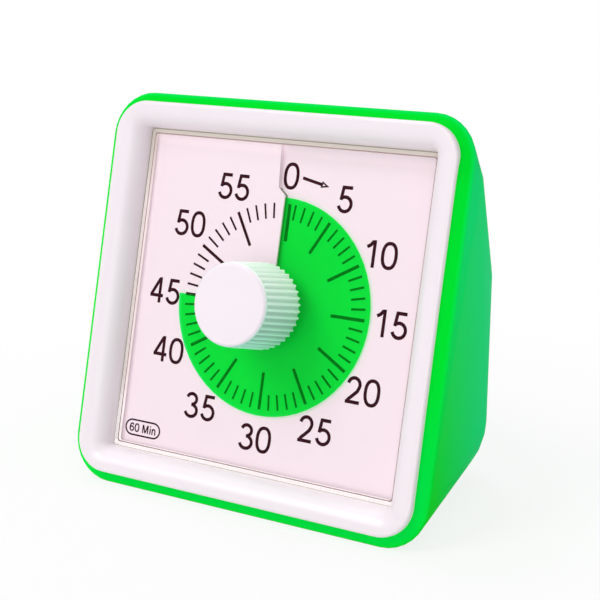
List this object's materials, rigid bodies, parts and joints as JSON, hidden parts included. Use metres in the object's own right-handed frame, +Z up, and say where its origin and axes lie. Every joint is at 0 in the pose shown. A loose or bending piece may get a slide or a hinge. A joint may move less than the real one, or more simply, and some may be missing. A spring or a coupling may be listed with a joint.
{
  "type": "visual countdown timer",
  "caption": "Leaning desk timer with a white frame, a green wedge housing, a spiral dial and a knob that winds a coloured disc out to show the minutes left.",
  "frame": {"origin": "on the table, under the middle of the whole timer, knob and rear included", "axes": "+Z up, the dial faces -Y and leans back, +X to the right of someone who looks at the dial"},
  "size_m": [0.0848, 0.0517, 0.0813],
  "materials": {
    "green_shell": "moulded green ABS, softly glossy",
    "green_inner": "moulded green ABS, satin",
    "white_gloss": "moulded white ABS, softly glossy",
    "white_inner": "moulded white resin, satin",
    "clear_lens": "clear polished acrylic",
    "card": "printed white styrene sheet",
    "green_film": "transparent green film",
    "dark_case": "moulded dark grey resin",
    "steel": "bright steel",
    "magnet": "dark sintered magnet and steel",
    "gear_resin": "natural acetal",
    "brass": "stamped brass",
    "copper": "enamelled copper wire",
    "cell_sleeve": "printed cell sleeve",
    "nickel": "nickel-plated steel",
    "board": "green solder mask",
    "black_resin": "black moulded resin",
    "red_wire": "red PVC insulation",
    "black_wire": "black PVC insulation",
    "yellow_wire": "yellow PVC insulation"
  },
  "bodies": {
    "case": {"rear_housing": "green_shell", "front_bezel": "white_gloss", "lens": "clear_lens", "dial_card": "card", "chassis_plate": "white_inner", "chassis_screws": "steel", "movement_front_case": "dark_case", "movement_rear_case": "dark_case", "movement_screws": "steel", "motor_coil": "copper", "coil_bobbin": "white_inner", "stator": "steel", "battery_tray": "green_inner", "battery_cell": "cell_sleeve", "contact_spring": "nickel", "contact_plate": "nickel", "circuit_board": "board", "board_screws": "steel", "control_chip": "black_resin", "quartz_can": "steel", "buzzer": "black_resin", "volume_switch": "steel", "alarm_switch": "steel", "battery_lead_red": "red_wire", "battery_lead_black": "black_wire", "motor_leads": "yellow_wire"},
    "knob": {"knob": "white_gloss", "spindle": "steel", "clutch_spring": "brass", "clutch_collar": "steel"},
    "disc": {"disc_hub": "white_inner", "time_disc": "green_film"},
    "rotor": {"rotor": "magnet"},
    "second_wheel": {"second_wheel": "gear_resin"},
    "third_wheel": {"third_wheel": "gear_resin"},
    "centre_wheel": {"centre_wheel": "brass"},
    "battery_door": {"battery_door": "green_shell"},
    "volume_button": {"volume_button": "white_inner"},
    "alarm_button": {"alarm_button": "white_inner"}
  },
  "joints": [
    {"name": "knob_turn", "type": "hinge", "parent": "case", "child": "knob", "pos_m": [0, -0.00716, 0.03987], "axis": [0, 0.9677, -0.2521], "range_deg": [-270, 90]},
    {"name": "disc_lift", "type": "slide", "parent": "knob", "child": "disc", "axis": [0, -0.9677, 0.2521], "range_m": [-0.00094, 0.00032]},
    {"name": "rotor_spin", "type": "hinge", "parent": "case", "child": "rotor", "pos_m": [0.0098, 0.00288, 0.04667], "axis": [0, 0.9677, -0.2521], "continuous": true},
    {"name": "second_spin", "type": "hinge", "parent": "case", "child": "second_wheel", "pos_m": [0.01106, 0.00109, 0.03979], "axis": [0, 0.9677, -0.2521], "continuous": true},
    {"name": "third_spin", "type": "hinge", "parent": "case", "child": "third_wheel", "pos_m": [0.00911, -0.00074, 0.03276], "axis": [0, 0.9677, -0.2521], "continuous": true},
    {"name": "centre_spin", "type": "hinge", "parent": "case", "child": "centre_wheel", "pos_m": [0, 0.00058, 0.03785], "axis": [0, 0.9677, -0.2521], "continuous": true},
    {"name": "volume_slide", "type": "slide", "parent": "case", "child": "volume_button", "axis": [-1, 0, 0], "range_m": [-0.002, 0.002]},
    {"name": "alarm_slide", "type": "slide", "parent": "case", "child": "alarm_button", "axis": [-1, 0, 0], "range_m": [0, 0.003]},
    {"name": "door_open", "type": "hinge", "parent": "case", "child": "battery_door", "pos_m": [0, 0.0249, 0.01443], "axis": [-1, 0, 0], "range_deg": [0, 90]}
  ],
  "couplings": [
    {"joint": "disc_lift", "follows": "knob_turn", "m_per_rad": 0.00019894},
    {"joint": "second_spin", "follows": "rotor_spin", "ratio": -0.2},
    {"joint": "third_spin", "follows": "rotor_spin", "ratio": 0.05},
    {"joint": "centre_spin", "follows": "rotor_spin", "ratio": -0.0083333}
  ]
}
